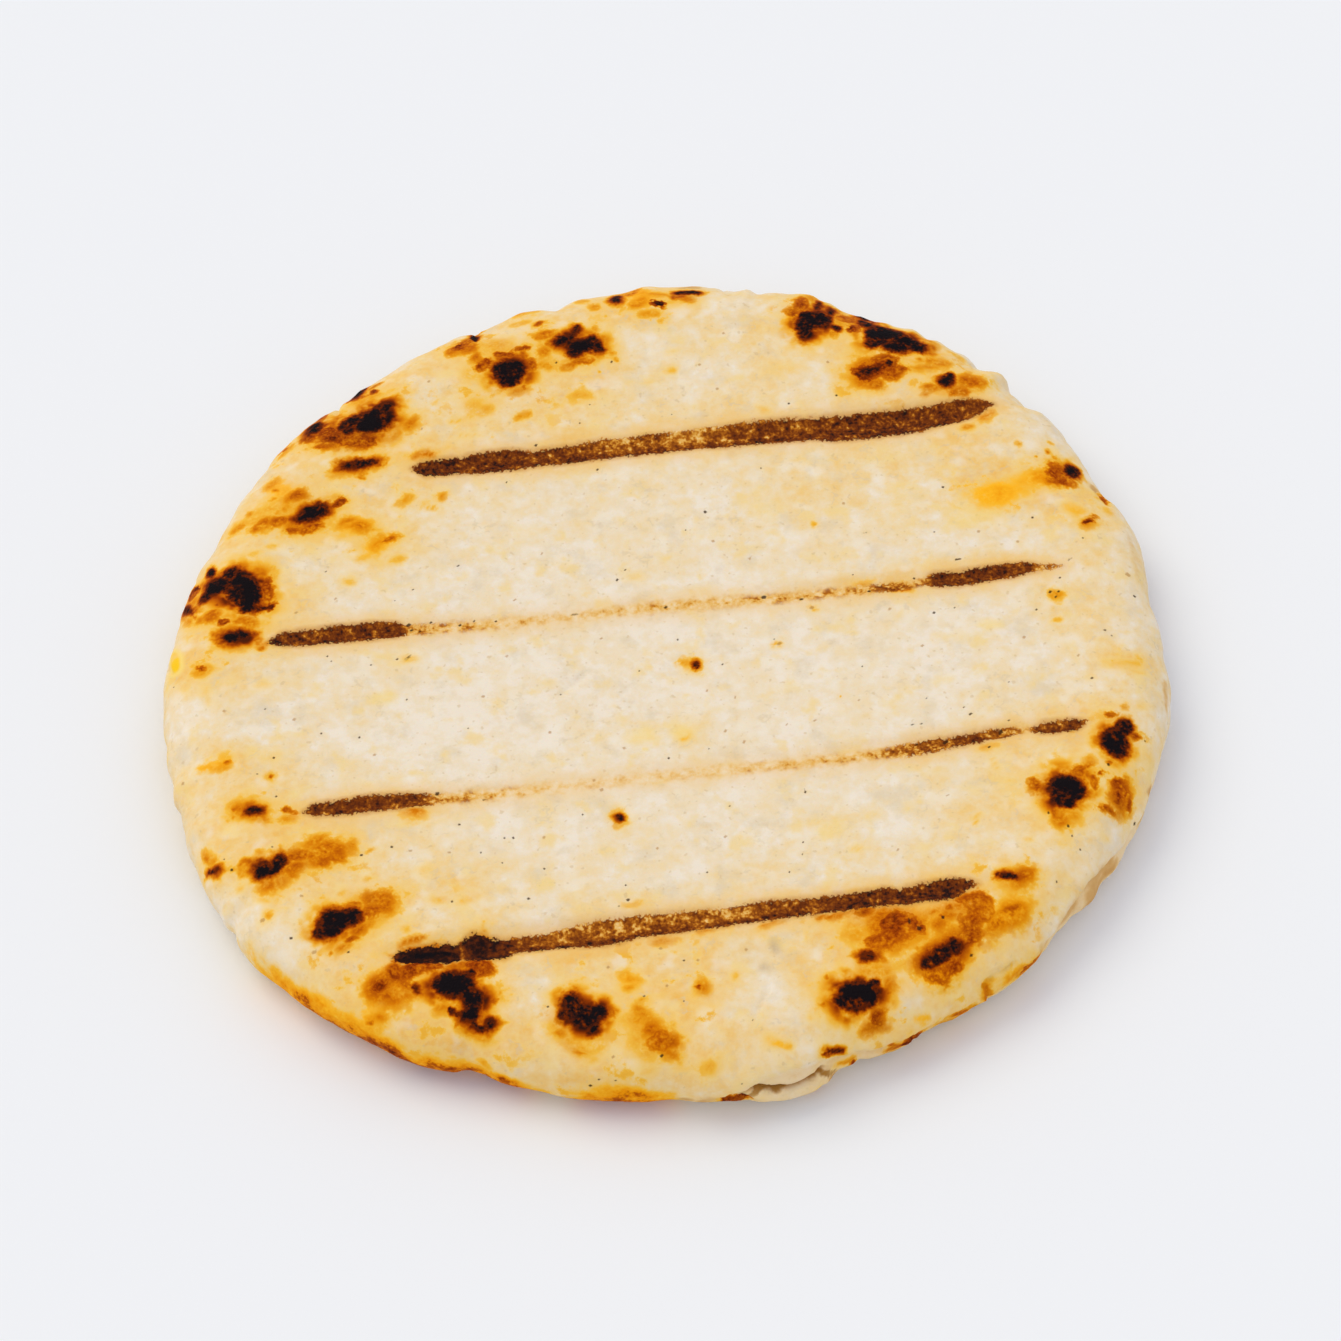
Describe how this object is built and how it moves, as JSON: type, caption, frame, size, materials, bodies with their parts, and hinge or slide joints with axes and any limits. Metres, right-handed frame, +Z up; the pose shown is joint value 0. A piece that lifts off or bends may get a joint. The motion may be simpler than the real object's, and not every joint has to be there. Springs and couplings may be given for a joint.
{
  "type": "arepa corn cake",
  "caption": "Flat round grilled white-corn arepa, one soft-edged cake with a dished top, pressed grill marks and an uneven hand-patted rim.",
  "frame": {"origin": "middle of the footprint, on the flat underside the cake rests on", "axes": "+Z up through the thickness, +X along the grill marks, -Y towards the viewer's side where the rim is split"},
  "size_m": [0.1199, 0.121, 0.0101],
  "materials": {
    "dough": "matt, slightly moist cooked corn dough with toasted and charred spots"
  },
  "bodies": {
    "root": {"arepa": "dough"}
  },
  "joints": []
}
